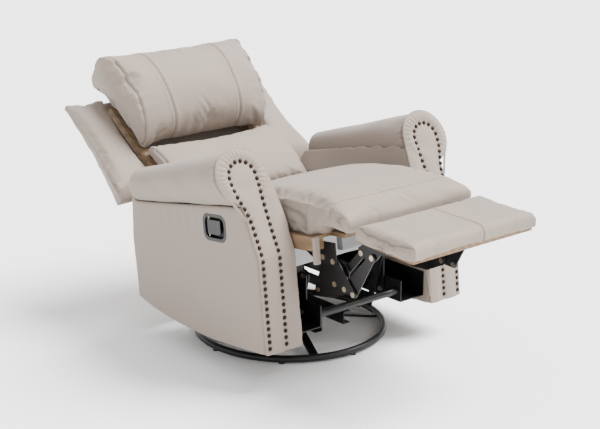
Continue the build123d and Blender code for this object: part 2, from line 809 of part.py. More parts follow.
def make_seat_cushion():
    """A thick cushion, hollowed under its nose, with a rounded front and a dished top."""
    rear = cushion_rear_y
    front = rail_front_y + 10
    with BuildPart() as seat_cushion:
        with BuildSketch(side_plane(BODY, 0)):
            with BuildLine():
                under = Polyline((rear, deck_z), (front, deck_z), (front - 10, deck_z + 28),
                                 (front - 70, deck_z + 27), (nose_y + 20, deck_z + 13))
                nose = ThreePointArc(under @ 1, (nose_y, deck_z + 35), (nose_y + 18, deck_z + 59))
                top = Spline(nose @ 1, (nose_y + 81, deck_z + 79), (nose_y + 200, deck_z + 100),
                             (nose_y + 310, deck_z + 103), (nose_y + 450, deck_z + 91),
                             (nose_y + 600, deck_z + 61), (rear - 45, deck_z + 43))
                Polyline(top @ 1, (rear, deck_z + 25), (rear, deck_z))
            make_face()
        extrude(amount=seat_half, both=True)
    return seat_cushion


# ---------------------------------------------------------------- footrest linkage
open_radius = shaft + open_pivot_clearance
run_radius = shaft + running_clearance
crank_heel = shifted(crank_pivot, (53, -107))


def make_cranks():
    cy, cz = crank_pivot
    bosses = ((cy, cz, 16), (*crank_heel, 14), (cy - 3, cz - 110, 14), (cy - 72, cz - 32, 12),
              (*carrier_pivot, 14))
    holes = ((cy, cz, run_radius), (*carrier_pivot, shaft), (*tie_pivot, shaft), (*crank_heel, shaft))
    with BuildPart() as ottoman_cranks:
        leaf_bar(BODY, crank_x, leaf, bosses, holes)
    return ottoman_cranks


def make_crank_rivets():
    """Rivets in the cranks, for the carriers and ties, and a stop stud in each heel."""
    outside = crank_x + leaf
    carrier_spans = ((crank_x - 2, crank_x, 8), (crank_x - 2, carrier_x + leaf + 2.4, shaft),
                     (outside, carrier_x - 0.3, 8), (carrier_x + leaf + 0.3, carrier_x + leaf + 2.4, 8))
    tie_spans = ((outside, outside + 2, 8), (tie_x - 2.4, outside + 2, shaft),
                 (tie_x + leaf + 0.3, crank_x, 8), (tie_x - 2.4, tie_x - 0.3, 8))
    stud = ((outside, outside + 2, 7), (crank_x, outside, shaft), (crank_x - 2, crank_x, 7))
    with BuildPart() as crank_rivets:
        for side in SIDES:
            stepped_pin(BODY, *carrier_pivot, side, carrier_spans)
            stepped_pin(BODY, *tie_pivot, side, tie_spans)
            stepped_pin(BODY, *crank_heel, side, stud)
    return crank_rivets


def make_rockers():
    with BuildPart() as ottoman_rockers:
        leaf_bar(BODY, rocker_x, leaf, ((*rocker_pivot, 11), (*carrier_rocker_pivot, 11)),
                 ((*rocker_pivot, run_radius), (*carrier_rocker_pivot, open_radius)))
    return ottoman_rockers


def make_carriers():
    bosses = ((*carrier_pivot, 11), (*foot_pivot, 11), (*carrier_rocker_pivot, 10))
    holes = ((*carrier_pivot, run_radius), (*foot_pivot, shaft), (*carrier_rocker_pivot, shaft))
    with BuildPart() as ottoman_carriers:
        leaf_bar(BODY, carrier_x, leaf, bosses, holes)
    return ottoman_carriers


def make_carrier_rivets():
    outside = carrier_x + leaf
    rocker_spans = ((carrier_x - 2, carrier_x, 8), (carrier_x - 2, rocker_x + leaf + 2.4, shaft),
                    (outside, rocker_x - 0.3, 8), (rocker_x + leaf + 0.3, rocker_x + leaf + 2.4, 8))
    foot_spans = ((outside, outside + 2, 8), (crank_x - 2.4, outside + 2, shaft),
                  (crank_x + leaf + 0.3, carrier_x, 8), (crank_x - 2.4, crank_x - 0.3, 8))
    with BuildPart() as carrier_rivets:
        for side in SIDES:
            stepped_pin(BODY, *carrier_rocker_pivot, side, rocker_spans)
            stepped_pin(BODY, *foot_pivot, side, foot_spans)
    return carrier_rivets


def make_ties():
    with BuildPart() as ottoman_ties:
        leaf_bar(BODY, tie_x, leaf, ((*tie_pivot, 11), (*foot_tie_pivot, 11)),
                 ((*tie_pivot, run_radius), (*foot_tie_pivot, open_radius)))
    return ottoman_ties


# ---------------------------------------------------------------- footrest
board_half = foot_half_width - 16


def make_footrest_brackets():
    """A plate each side with its pivots, and a flange under the board."""
    py, pz = foot_pivot
    ty, tz = foot_tie_pivot
    with BuildPart() as footrest_brackets:
        for side in SIDES:
            with BuildSketch(side_plane(BODY, side * crank_x)):
                Polygon(in_frame(BODY, FOOT, (-100, 0)), in_frame(BODY, FOOT, (-5, 0)), (ty + 10, tz + 15),
                        (ty + 12, tz - 5), (ty - 3, tz - 13), (py - 2, pz - 13), (py - 14, pz - 5),
                        (py - 30, pz + 12), (py - 80, pz + 12))
                with Locations(foot_pivot):
                    Circle(run_radius, mode=Mode.SUBTRACT)
                with Locations(foot_tie_pivot):
                    Circle(shaft, mode=Mode.SUBTRACT)
                with Locations((py - 42, pz + 23), (py - 55, pz + 23), (py - 68, pz + 23)):
                    Circle(4, mode=Mode.SUBTRACT)
            extrude(amount=side * leaf)
            upright_box(FOOT, side * (crank_x - 23), side * (crank_x + leaf), -100, -5, -leaf, 0)
    return footrest_brackets


def make_footrest_rivets():
    outside = crank_x + leaf
    spans = ((outside, outside + 2, 8), (tie_x - 2.4, outside + 2, shaft),
             (tie_x + leaf + 0.3, crank_x, 8), (tie_x - 2.4, tie_x - 0.3, 8))
    with BuildPart() as footrest_rivets:
        for side in SIDES:
            stepped_pin(BODY, *foot_tie_pivot, side, spans)
    return footrest_rivets


def make_footrest_board():
    with BuildPart() as footrest_board:
        upright_box(FOOT, -board_half, board_half, -foot_length + 12, -4, 0, foot_board)
    return footrest_board


def make_footrest_cushion(footrest_board):
    with BuildPart() as footrest_cushion:
        upright_box(FOOT, -foot_half_width, foot_half_width, -foot_length, 6, 0, foot_thickness)
        rim = footrest_cushion.edges().sort_by(Axis((0, 0, 0), FOOT.z_dir))[-4:]
        fillet(rim, radius=16)
        add(footrest_board.part, mode=Mode.SUBTRACT)
    return footrest_cushion


# ---------------------------------------------------------------- back
post_x = plate_x - 3
post_outer = wing_outer - 154
back_hinge_local = in_frame(BACK, BODY, back_hinge)


def make_back_brackets():
    with BuildPart() as back_brackets:
        leaf_bar(BACK, rocker_x, leaf, ((*back_hinge_local, 14), (8, 14, 12)),
                 ((*back_hinge_local, run_radius),))
    return back_brackets


def make_back_frame():
    """Two posts outside the brackets, joined by three rails."""
    top = wing_height - 50
    with BuildPart() as back_frame:
        for side in SIDES:
            upright_box(BACK, side * post_x, side * post_outer, -11, 24, -110, pillow_base - 3)
            upright_box(BACK, side * post_x, side * post_outer, 0, 24, pillow_base - 3, top)
        for low, half in ((top - 30, post_x), (pillow_base - 15, post_x), (-108, rocker_x)):
            upright_box(BACK, -half, half, 4, 24, low, low + 30)
    return back_frame


def make_lumbar_cushion():
    foot = lumbar_foot
    crease = pillow_base - 1
    with BuildPart() as lumbar_cushion:
        with BuildSketch(side_plane(BACK, 0)):
            with BuildLine():
                rear = Polyline((-46, crease), (-11, crease), (-11, foot), (-63, foot))
                Spline(rear @ 1, (-75, 0), rear @ 0, tangents=((-0.12, 1), (0.5, 1)))
            make_face()
        extrude(amount=seat_half, both=True)
    return lumbar_cushion


def make_head_pillow():
    """A full pillow that overhangs the lumbar cushion and widens to its top."""
    with BuildPart() as head_pillow:
        with BuildSketch(side_plane(BACK, 0)):
            with BuildLine():
                face = Spline((-46, pillow_base + 1), (-120, pillow_base + 75), (2 - pillow_depth, 290),
                              (-pillow_depth, pillow_top - 73))
                crown = ThreePointArc(face @ 1, (60 - 42 - pillow_depth, pillow_top - 18),
                                      (60 - pillow_depth, pillow_top))
                Polyline(crown @ 1, (-20, pillow_top - 5), (0, pillow_top - 28), (0, pillow_base + 1),
                         face @ 0)
            make_face()
        extrude(amount=pillow_half_top, both=True)
        with BuildSketch(face_plane(BACK, 0)):
            Polygon((-pillow_half_base, pillow_base), (pillow_half_base, pillow_base),
                    (pillow_half_top, pillow_top + 1), (-pillow_half_top, pillow_top + 1))
        extrude(amount=pillow_depth + 20, mode=Mode.INTERSECT)
    return head_pillow


def make_wing(side):
    with BuildPart() as wing:
        with BuildSketch(side_plane(BACK, side * post_outer)):
            Polygon((0, 0), (0, wing_height), (wing_depth_top, wing_height - 2),
                    (wing_depth_foot, -20), (30, -30))
        extrude(amount=side * (wing_outer - post_outer))
    return wing


def make_back_cover():
    """The covered panel behind the frame, with a narrower flap below it."""
    foot = wing_depth_foot
    head = wing_depth_top + 1
    with BuildPart() as back_cover:
        with BuildSketch(side_plane(BACK, 0)):
            Polygon((foot - 6, -21), (foot, -20), (head, wing_height - 8), (head - 6, wing_height - 8))
        extrude(amount=post_outer, both=True)
        with BuildSketch(side_plane(BACK, 0)):
            Polygon((foot - 6, -190), (foot, -190), (foot, -20), (foot - 6, -21))
        extrude(amount=post_outer - 22, both=True)
    return back_cover


# ---------------------------------------------------------------- the whole chair
def main():
    os.makedirs("parts", exist_ok=True)
    ring = make_ring()
    keep(ring, "base_ring")
    keep(make_spokes(ring), "base_spokes")
    keep(make_floor_glides(ring), "base_glides")
    keep(make_lower_race(), "swivel_lower_race")
    keep(make_swivel_bolt(), "swivel_bolt")
    keep(make_upper_race(), "swivel_upper_race")
    keep(make_turntable_rails(), "turntable_rails")
    keep(make_turntable_tubes(), "turntable_tubes")
    keep(make_hanger_brackets(), "hanger_brackets")
    keep(make_hanger_pins(), "hanger_pins")
    keep(make_glide_links(glider_rear_y, running_clearance), "rear_glide_links")
    keep(make_glide_links(glider_front_y, open_pivot_clearance), "front_glide_links")
    keep(make_lower_glide_pins(), "lower_glide_pins")
    keep(make_body_tube(), "body_cross_tube")
    keep(make_rear_rail(), "rear_rail")
    keep(make_slide_rails(), "slide_rails")
    lever_pin = make_lever_pin()
    keep(lever_pin, "lever_pin")
    keep(make_bezel(lever_pin), "lever_bezel")
    keep(make_release_lever(), "release_lever")
    plates = []
    for side, word in ((-1, "right"), (1, "left")):
        keep(make_base_channel(side), f"base_channel_{word}")
        roll = make_roll(side)
        keep(roll, f"arm_roll_{word}")
        keep(make_arm_body(side, roll), f"arm_body_{word}")
        keep(make_arm_frame(side), f"arm_frame_{word}")
        keep(make_arm_front(side), f"arm_front_{word}")
        keep(make_nailheads(side), f"nailheads_{word}")
        keep(make_wing(side), f"wing_{word}")
        plates.append(make_seat_side_plate(side))
        keep(plates[-1], f"seat_side_plate_{word}")
    keep(make_seat_frame(plates), "seat_frame")
    keep(make_seat_front_rail(), "seat_front_rail")
    keep(make_seat_lining(), "seat_lining")
    keep(make_seat_end_panels(), "seat_end_panels")
    keep(make_slide_blocks(), "slide_blocks")
    keep(make_seat_tubes(), "seat_cross_tubes")
    keep(make_seat_springs(), "seat_springs")
    keep(make_seat_rivets(), "seat_rivets")
    keep(make_seat_cushion(), "seat_cushion")
    keep(make_cranks(), "ottoman_cranks")
    keep(make_crank_rivets(), "crank_rivets")
    keep(make_rockers(), "ottoman_rockers")
    keep(make_carriers(), "ottoman_carriers")
    keep(make_carrier_rivets(), "carrier_rivets")
    keep(make_ties(), "ottoman_ties")
    board_piece = make_footrest_board()
    keep(make_footrest_brackets(), "footrest_brackets")
    keep(make_footrest_rivets(), "footrest_rivets")
    keep(board_piece, "footrest_board")
    keep(make_footrest_cushion(board_piece), "footrest_cushion")
    keep(make_back_brackets(), "back_brackets")
    keep(make_back_frame(), "back_frame")
    keep(make_lumbar_cushion(), "lumbar_cushion")
    keep(make_head_pillow(), "head_pillow")
    keep(make_back_cover(), "back_cover")


if __name__ == "__main__":
    main()
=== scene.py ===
"""Reclined nursery glider chair: cushions, covers, trim and finishes around its packed frame.

Lengths in the build functions are millimetres in one of the chair's own frames, given as (x, y, z)
with x to the sitter's left, y to the rear and z up. FLOOR is upright on the swivel axis, BODY leans
back with the upholstered body, BACK leans with the back and FOOT lies along the footrest.
"""
import json
import math

import bmesh
import bpy
import numpy as np
from bpy.props import FloatProperty, FloatVectorProperty, PointerProperty
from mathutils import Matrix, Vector, noise


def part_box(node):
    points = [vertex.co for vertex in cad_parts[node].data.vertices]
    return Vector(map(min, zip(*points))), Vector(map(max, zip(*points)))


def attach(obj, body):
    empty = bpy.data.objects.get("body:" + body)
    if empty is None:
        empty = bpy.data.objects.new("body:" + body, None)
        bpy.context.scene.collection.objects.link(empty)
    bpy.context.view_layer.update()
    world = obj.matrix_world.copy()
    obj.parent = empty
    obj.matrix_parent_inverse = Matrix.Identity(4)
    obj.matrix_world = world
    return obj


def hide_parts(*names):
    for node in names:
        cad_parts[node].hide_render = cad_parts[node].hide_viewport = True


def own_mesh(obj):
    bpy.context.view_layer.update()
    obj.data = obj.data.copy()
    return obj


bl_info = {
    "name": "Nursery Glider Chair",
    "version": (1, 0, 0),
    "blender": (4, 5, 0),
    "location": "View3D > Sidebar > Glider Chair",
    "description": "Builds the soft goods, trim and finishes of a reclining nursery glider",
    "category": "Object",
}

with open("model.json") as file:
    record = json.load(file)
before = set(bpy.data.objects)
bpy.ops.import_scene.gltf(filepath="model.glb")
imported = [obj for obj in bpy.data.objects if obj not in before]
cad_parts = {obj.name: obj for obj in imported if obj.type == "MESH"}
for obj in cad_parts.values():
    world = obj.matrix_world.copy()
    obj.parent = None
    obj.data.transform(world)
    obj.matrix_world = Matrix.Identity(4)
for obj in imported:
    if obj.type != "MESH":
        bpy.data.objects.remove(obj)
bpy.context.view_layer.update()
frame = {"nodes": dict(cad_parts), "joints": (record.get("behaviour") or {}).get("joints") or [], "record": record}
JOINTS = {joint["name"]: joint for joint in frame["joints"]}
SWIVEL_Y = JOINTS["swivel"]["pos_m"][1] * 1000

BODY_LEAN = 6.6
BACK_LEAN = 48.0
FOOT_FALL = 9.2
ARM_LEAN = math.degrees(math.atan2(83, 219))
ARM_INNER = 258.0
ARM_OUTER = 390.0
KNEE = (-367.0, 351.0)
ROLL_X = 359.0
ROLL_REACH = math.hypot(83, 219)
ROLL_RADIUS = 86.0
SEAT_HALF = 254.0
SIDES = {"right": -1, "left": 1}

SEAT_BORDER_Y = -512           # the sewn border across the seat's nose
SEAT_SEAM_X = 241
FOOT_SEAM_X = 236
CREASE_Z = 114                 # where the pillow meets the lumbar cushion
LUMBAR_STRETCH = 1.10
LUMBAR_SEAM_X = 240
PILLOW_FOOT = 115
PILLOW_TALL = 338
PILLOW_HALF = 259
PILLOW_FLARE = 25
SUN_DIRECTION = (-0.50, 0.22, -0.84)
FILL_PLACE = (0.8, -3.4, 1.2)
FILL_AIM = (0, -0.1, 0.5)
CAMERA_PLACE = (-2.7337, -3.2451 + SWIVEL_Y / 1000, 1.6513)
CAMERA_DIRECTION = (0.62225, 0.72766, -0.28865)


# ---------------------------------------------------------------- frames
class Lean:
    """A frame in the chair's side plane, leaned back by an angle."""

    def __init__(self, parent, y, z, degrees):
        angle = math.radians(degrees) + (parent.angle if parent else 0.0)
        self.angle = angle
        self.origin = parent.at(0, y, z) * 1000 if parent else Vector((0, y, z))
        self.rear = Vector((0, math.cos(angle), -math.sin(angle)))
        self.up = Vector((0, math.sin(angle), math.cos(angle)))

    def at(self, x, y, z):
        """The row-frame point, in metres, of a point in this frame."""
        return (self.origin + Vector((x, 0, 0)) + self.rear * y + self.up * z) / 1000

    def local(self, points):
        """x, y and z in this frame, in millimetres, of an array of row-frame points."""
        step = points * 1000 - np.array(self.origin)
        return step[:, 0], step @ np.array(self.rear), step @ np.array(self.up)

    def spread(self, x, y, z):
        """An array of row-frame moves, in metres, from arrays of moves in this frame."""
        axis = np.array((1.0, 0.0, 0.0))
        rear, up = np.array(self.rear), np.array(self.up)
        return (np.outer(x, axis) + np.outer(y, rear) + np.outer(z, up)) / 1000


FLOOR = Lean(None, SWIVEL_Y, 0, 0)
BODY = Lean(FLOOR, 0, 0, BODY_LEAN)
BACK = Lean(BODY, 285, 488, BACK_LEAN)
FOOT = Lean(BODY, -605, 400, -FOOT_FALL)
SLANT = Lean(BODY, KNEE[0], KNEE[1], ARM_LEAN)


# ---------------------------------------------------------------- shader maths
class Value:
    """A node socket that takes part in Python arithmetic."""

    def __init__(self, shader, socket):
        self.shader = shader
        self.socket = socket

    def maths(self, operation, *others, clamp=False):
        settings = {"operation": operation, "use_clamp": clamp}
        return self.shader.node("ShaderNodeMath", settings, dict(enumerate((self, *others))))

    def __add__(self, other):
        return self.maths("ADD", other)

    __radd__ = __add__

    def __mul__(self, other):
        return self.maths("MULTIPLY", other)

    __rmul__ = __mul__

    def __sub__(self, other):
        return self.maths("SUBTRACT", other)

    def clamped(self):
        return self.maths("ADD", 0.0, clamp=True)


class Shader:
    """One material, its Principled shader and the nodes that feed it."""

    def __init__(self, name, **constants):
        self.material = bpy.data.materials.new(name)
        self.material.use_nodes = True
        self.tree = self.material.node_tree
        self.surface = self.tree.nodes["Principled BSDF"]
        for socket, value in constants.items():
            self.surface.inputs[socket.replace("_", " ")].default_value = value

    def plug(self, target, value):
        if isinstance(value, Value):
            self.tree.links.new(value.socket, target)
        else:
            target.default_value = value

    def node(self, kind, settings=None, inputs=None, output=0):
        made = self.tree.nodes.new(kind)
        for name, value in (settings or {}).items():
            setattr(made, name, value)
        for name, value in (inputs or {}).items():
            self.plug(made.inputs[name], value)
        return Value(self, made.outputs[output])

    def feed(self, socket, value):
        self.plug(self.surface.inputs[socket], value)

    def place(self):
        return self.node("ShaderNodeTexCoord", output="Object")

    def noise(self, scale, detail=2.0, rough=0.5, vector=None):
        inputs = {"Vector": vector or self.place(), "Scale": scale,
                  "Detail": detail, "Roughness": rough}
        return self.node("ShaderNodeTexNoise", {}, inputs)

    def attribute(self, name):
        return self.node("ShaderNodeAttribute", {"attribute_name": name}, output="Fac")

    def blend(self, factor, first, second):
        settings = {"data_type": "RGBA"}
        colours = {0: factor, 6: first, 7: second}
        return self.node("ShaderNodeMix", settings, colours, output=2)

    def bump(self, *layers):
        """Chains (height, strength, distance) layers into the shader's normal."""
        normal = None
        for height, strength, distance in layers:
            inputs = {"Height": height, "Strength": strength, "Distance": distance}
            if normal:
                inputs["Normal"] = normal
            normal = self.node("ShaderNodeBump", {}, inputs)
        self.feed("Normal", normal)


def tint(colour, factor):
    """A colour, as four numbers, made lighter or darker."""
    return (*[min(1.0, channel * factor) for channel in colour[:3]], 1.0)


MATERIALS = {}


def cover_cloth(name, colour, weave=1.0):
    """Soft matte upholstery: a fine even grain, faint mottling, darker seams and a thread in them."""
    shader = Shader(name, Sheen_Weight=0.18, Sheen_Roughness=0.45, Specular_IOR_Level=0.32)
    mottle = shader.noise(9.0, 3.0, 0.55)
    cloud = shader.noise(70.0, 2.0, 0.5)
    grain = shader.noise(1500.0, 2.0, 0.6)
    pebble = shader.node("ShaderNodeTexVoronoi", {"feature": "DISTANCE_TO_EDGE"},
                         {"Vector": shader.place(), "Scale": 780.0})
    # The seam attribute carries a stitch line along each seam with painted shade in its groove, and painted shade
    # round each nail.
    seam = shader.attribute("seam")
    lift = ((mottle - 0.5) * 0.5 + (cloud - 0.5) * 0.35 + (grain - 0.5) * 0.3 + 0.5).clamped()
    base = shader.blend(lift, tint(colour, 0.90), tint(colour, 1.08))
    # Painted shade: the cloth is darkened towards a third of its colour where the seam attribute is strong.
    stitched = shader.blend((seam * 0.62).clamped(), base, tint(colour, 0.34))
    shader.feed("Base Color", stitched)
    shader.feed("Roughness", 0.56 + lift * 0.2 + seam * 0.1)
    shader.bump((pebble, 0.16 * weave, 0.0004), (grain, 0.14 * weave, 0.0003),
                (cloud, 0.12, 0.0012))
    return shader.material


def coated_steel(name, colour):
    """Black powder coat with a fine orange peel and dusty, slightly worn patches."""
    shader = Shader(name, Metallic=0.0, Specular_IOR_Level=0.30, Coat_Roughness=0.25)
    peel = shader.noise(900.0, 2.0, 0.5)
    dust = shader.noise(22.0, 5.0, 0.6)
    dusty = ((dust - 0.35) * 1.6).clamped()
    shader.feed("Base Color", shader.blend(dusty, tint(colour, 0.7), tint(colour, 1.9)))
    shader.feed("Roughness", 0.30 + dust * 0.22)
    shader.feed("Coat Weight", 0.05 + peel * 0.05)
    shader.bump((peel, 0.12, 0.0003))
    return shader.material


def plated_steel(name, colour):
    """Zinc plate with fine brushed streaks and a faint yellow cast in places."""
    shader = Shader(name, Metallic=1.0)
    streak_place = shader.node("ShaderNodeMapping", {},
                               {"Vector": shader.place(), "Scale": (60.0, 900.0, 900.0)})
    streak = shader.noise(1.0, 3.0, 0.6, streak_place)
    cast = shader.noise(40.0, 3.0, 0.5)
    shader.feed("Base Color", shader.blend(cast, tint(colour, 0.85), (0.62, 0.52, 0.34, 1.0)))
    shader.feed("Roughness", 0.24 + streak * 0.22)
    shader.bump((streak, 0.1, 0.0002))
    return shader.material


def moulded_plastic(name, colour):
    """Black moulded plastic with a fine spark texture."""
    shader = Shader(name, Specular_IOR_Level=0.45)
    spark = shader.noise(1600.0, 3.0, 0.7)
    haze = shader.noise(30.0, 3.0, 0.5)
    shader.feed("Base Color", shader.blend(haze, tint(colour, 0.8), tint(colour, 1.5)))
    shader.feed("Roughness", 0.36 + spark * 0.2)
    shader.bump((spark, 0.25, 0.0003))
    return shader.material


def sawn_timber(name, colour):
    """Bare timber with long grain, growth bands and small dark pores."""
    shader = Shader(name, Specular_IOR_Level=0.3)
    grain_place = shader.node("ShaderNodeMapping", {},
                              {"Vector": shader.place(), "Scale": (14.0, 3.0, 14.0)})
    warp = shader.noise(2.0, 3.0, 0.5, grain_place)
    bands = shader.node("ShaderNodeTexWave",
                        {"wave_type": "BANDS", "bands_direction": "DIAGONAL"},
                        {"Vector": grain_place, "Scale": 1.4, "Distortion": 5.0, "Detail": 3.0})
    pores = shader.noise(16.0, 4.0, 0.7, grain_place)
    mixed = (bands * 0.5 + warp * 0.3 + pores * 0.2).clamped()
    shader.feed("Base Color", shader.blend(mixed, tint(colour, 0.62), tint(colour, 1.12)))
    shader.feed("Roughness", 0.62 + pores * 0.2)
    shader.bump((pores, 0.3, 0.0006))
    return shader.material


def antique_bronze(name, colour):
    """Dark bronze with the high spots rubbed a little brighter."""
    shader = Shader(name, Metallic=0.9)
    rub = shader.noise(260.0, 3.0, 0.6)
    pits = shader.noise(900.0, 2.0, 0.5)
    worn = ((rub - 0.45) * 2.4).clamped()
    shader.feed("Base Color", shader.blend(worn, tint(colour, 0.7), tint(colour, 2.8)))
    shader.feed("Roughness", 0.26 + rub * 0.22)
    shader.bump((pits, 0.25, 0.0004))
    return shader.material


def floor_paper(name, colour):
    """Seamless pale studio paper."""
    shader = Shader(name, Roughness=0.9, Specular_IOR_Level=0.1)
    fibre = shader.noise(40.0, 2.0, 0.5)
    shader.feed("Base Color", shader.blend(fibre, tint(colour, 0.985), colour))
    return shader.material


def make_materials(settings):
    """Every finish of the chair, by slot name, made once."""
    if MATERIALS:
        return
    cover = (*settings.cover_colour, 1.0)
    MATERIALS.update(
        cover_fabric=cover_cloth("cover_fabric", cover),
        grey_wrap=cover_cloth("grey_wrap", (0.20, 0.20, 0.205, 1.0), 0.8),
        white_lining=cover_cloth("white_lining", (0.42, 0.42, 0.41, 1.0), 0.6),
        black_steel=coated_steel("black_steel", (*settings.steel_colour, 1.0)),
        plated_steel=plated_steel("plated_steel", (0.26, 0.245, 0.225, 1.0)),
        black_plastic=moulded_plastic("black_plastic", (0.004, 0.004, 0.0045, 1.0)),
        timber=sawn_timber("timber", (0.21, 0.135, 0.075, 1.0)),
        bronze_nail=antique_bronze("bronze_nail", (*settings.nail_colour, 1.0)),
    )


# ---------------------------------------------------------------- mesh helpers
CLOTH_STIFFNESS = 15.0
CLOTH_FRAMES = 20


def link(name, mesh):
    piece = bpy.data.objects.new(name, mesh)
    bpy.context.scene.collection.objects.link(piece)
    return piece


def from_bmesh(name, bm):
    mesh = bpy.data.meshes.new(name)
    bm.to_mesh(mesh)
    bm.free()
    return link(name, mesh)


def finish_modifiers(piece):
    """Bakes the live modifiers into the mesh."""
    depsgraph = bpy.context.evaluated_depsgraph_get()
    mesh = bpy.data.meshes.new_from_object(piece.evaluated_get(depsgraph))
    piece.modifiers.clear()
    piece.data = mesh


def points_of(piece):
    flat = np.empty(len(piece.data.vertices) * 3)
    piece.data.vertices.foreach_get("co", flat)
    return flat.reshape(-1, 3)


def normals_of(piece):
    flat = np.empty(len(piece.data.vertices) * 3)
    piece.data.vertices.foreach_get("normal", flat)
    return flat.reshape(-1, 3)


def set_points(piece, points):
    piece.data.vertices.foreach_set("co", points.ravel())
    piece.data.update()


def soft_copy(name, *nodes):
    """A merged copy of plain solids, to be made into a padded piece."""
    bm = bmesh.new()
    for node in nodes:
        bm.from_mesh(frame["nodes"][node].data)
    bmesh.ops.remove_doubles(bm, verts=bm.verts, dist=1e-5)
    return from_bmesh(name, bm)


def remesh(piece, voxel):
    """An even mesh over the same shape, with cells of the given size in mm."""
    modifier = piece.modifiers.new("Even mesh", "REMESH")
    modifier.mode = "VOXEL"
    modifier.voxel_size = voxel / 1000
    finish_modifiers(piece)


def relax(piece, passes):
    """Rounds an even mesh's corners."""
    modifier = piece.modifiers.new("Relax", "SMOOTH")
    modifier.factor = 0.5
    modifier.iterations = passes
    finish_modifiers(piece)


def inflate(piece, pressure, cap, shrink):
    """Swells a slightly smaller shape as stuffed cloth, moving no point further than cap."""
    start = points_of(piece) - normals_of(piece) * shrink / 1000
    set_points(piece, start)
    scene = bpy.context.scene
    scene.frame_set(1)
    cloth = piece.modifiers.new("Cloth", "CLOTH")
    cloth.settings.quality = 4
    cloth.settings.mass = 0.3
    cloth.settings.tension_stiffness = CLOTH_STIFFNESS
    cloth.settings.compression_stiffness = CLOTH_STIFFNESS
    cloth.settings.shear_stiffness = 5.0
    cloth.settings.bending_stiffness = 0.8
    cloth.settings.use_pressure = True
    cloth.settings.uniform_pressure_force = pressure
    cloth.settings.effector_weights.gravity = 0.0
    cloth.point_cache.frame_start = 1
    cloth.point_cache.frame_end = CLOTH_FRAMES
    for number in range(1, CLOTH_FRAMES + 1):
        scene.frame_set(number)
    depsgraph = bpy.context.evaluated_depsgraph_get()
    swollen = bpy.data.meshes.new_from_object(piece.evaluated_get(depsgraph))
    flat = np.empty(len(swollen.vertices) * 3)
    swollen.vertices.foreach_get("co", flat)
    piece.modifiers.clear()
    move = flat.reshape(-1, 3) - start
    length = np.linalg.norm(move, axis=1, keepdims=True)
    limit = cap / 1000
    move *= limit * np.tanh(length / limit) / np.maximum(length, 1e-9)
    set_points(piece, start + move)
    scene.frame_set(1)


def subdivide(piece):
    modifier = piece.modifiers.new("Finer mesh", "SUBSURF")
    modifier.levels = 1
    modifier.render_levels = 1
    finish_modifiers(piece)


def ripple(points, scale, seed):
    """A smooth field of about -1 to 1 over the points, with features of the given size in mm."""
    offset = Vector((seed * 7.3, seed * 3.1, seed * 5.7))
    spread = Vector(scale)
    values = np.empty(len(points))
    for index, (x, y, z) in enumerate(points * 1000):
        place = Vector((x / spread.x, y / spread.y, z / spread.z))
        values[index] = noise.noise(place + offset)
    return values * 1.6


def mark_seam_and_painted_shade(piece, strength):
    """Keeps the strongest seam value of each point, for the cloth's shader."""
    attributes = piece.data.attributes
    attribute = attributes.get("seam") or attributes.new("seam", "FLOAT", "POINT")
    old = np.empty(len(piece.data.vertices))
    attribute.data.foreach_get("value", old)
    attribute.data.foreach_set("value", np.maximum(old, strength))


def push(piece, distances):
    """Moves each point along its normal by a distance in metres."""
    set_points(piece, points_of(piece) + normals_of(piece) * distances[:, None])


def sew(piece, distance, depth, width, shoulder, mark=1.0, *, where):
    """Draws the cover in along a line, given each point's distance from it in mm."""
    keep = where.astype(float)
    groove = np.exp(-((distance / width) ** 2)) * keep
    raised = np.exp(-(((np.abs(distance) - 2.6 * width) / (1.6 * width)) ** 2)) * keep
    push(piece, (raised * shoulder - groove * depth) / 1000)
    # Marks the seam line, which the cloth's shader darkens as the stitch line and as painted shade in the groove.
    mark_seam_and_painted_shade(piece, np.exp(-((distance / 1.5) ** 2)) * keep * mark)


def pucker(piece, distance, along, depth, reach, pitch, seed, *, where):
    """Small gathers that run away from a seam and fade with distance from it."""
    keep = where.astype(float)
    phase = along / pitch * 2 * math.pi + 1.7 * np.sin(along / (pitch * 2.3) + seed)
    uneven = 0.55 + 0.45 * np.sin(along / (pitch * 1.37) + 2.1 * seed)
    wave = np.sin(phase) * uneven * np.exp(-np.abs(distance) / reach) * keep
    push(piece, wave * depth / 1000)


def rumple(piece, depth, scale, seed):
    """Slow unevenness all over a cover, up to about depth in mm."""
    push(piece, ripple(points_of(piece), scale, seed) * depth / 1000)


def tube_along(name, points, radius):
    """A round cord of cloth along row-frame points, as a mesh."""
    curve = bpy.data.curves.new(name, "CURVE")
    curve.dimensions = "3D"
    curve.bevel_depth = radius / 1000
    curve.bevel_resolution = 4
    curve.resolution_u = 6
    curve.use_fill_caps = True
    spline = curve.splines.new("NURBS")
    spline.points.add(len(points) - 1)
    for point, place in zip(spline.points, points):
        point.co = (*place, 1.0)
    spline.order_u = 3
    spline.use_endpoint_u = True
    holder = bpy.data.objects.new(name + "_path", curve)
    bpy.context.scene.collection.objects.link(holder)
    depsgraph = bpy.context.evaluated_depsgraph_get()
    mesh = bpy.data.meshes.new_from_object(holder.evaluated_get(depsgraph))
    bpy.data.objects.remove(holder)
    bpy.data.curves.remove(curve)
    bm = bmesh.new()
    bm.from_mesh(mesh)
    bpy.data.meshes.remove(mesh)
    bmesh.ops.remove_doubles(bm, verts=bm.verts, dist=1e-6)
    bmesh.ops.recalc_face_normals(bm, faces=bm.faces)
    return from_bmesh(name, bm)


def dress(piece, slot, body=None, replaces=()):
    """Finish, slot, body and stand-in facts of one piece."""
    piece.data.materials.clear()
    piece.data.materials.append(MATERIALS[slot])
    for face in piece.data.polygons:
        face.use_smooth = True
    if replaces:
        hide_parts(*replaces)
    if body:
        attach(piece, body)
    return piece


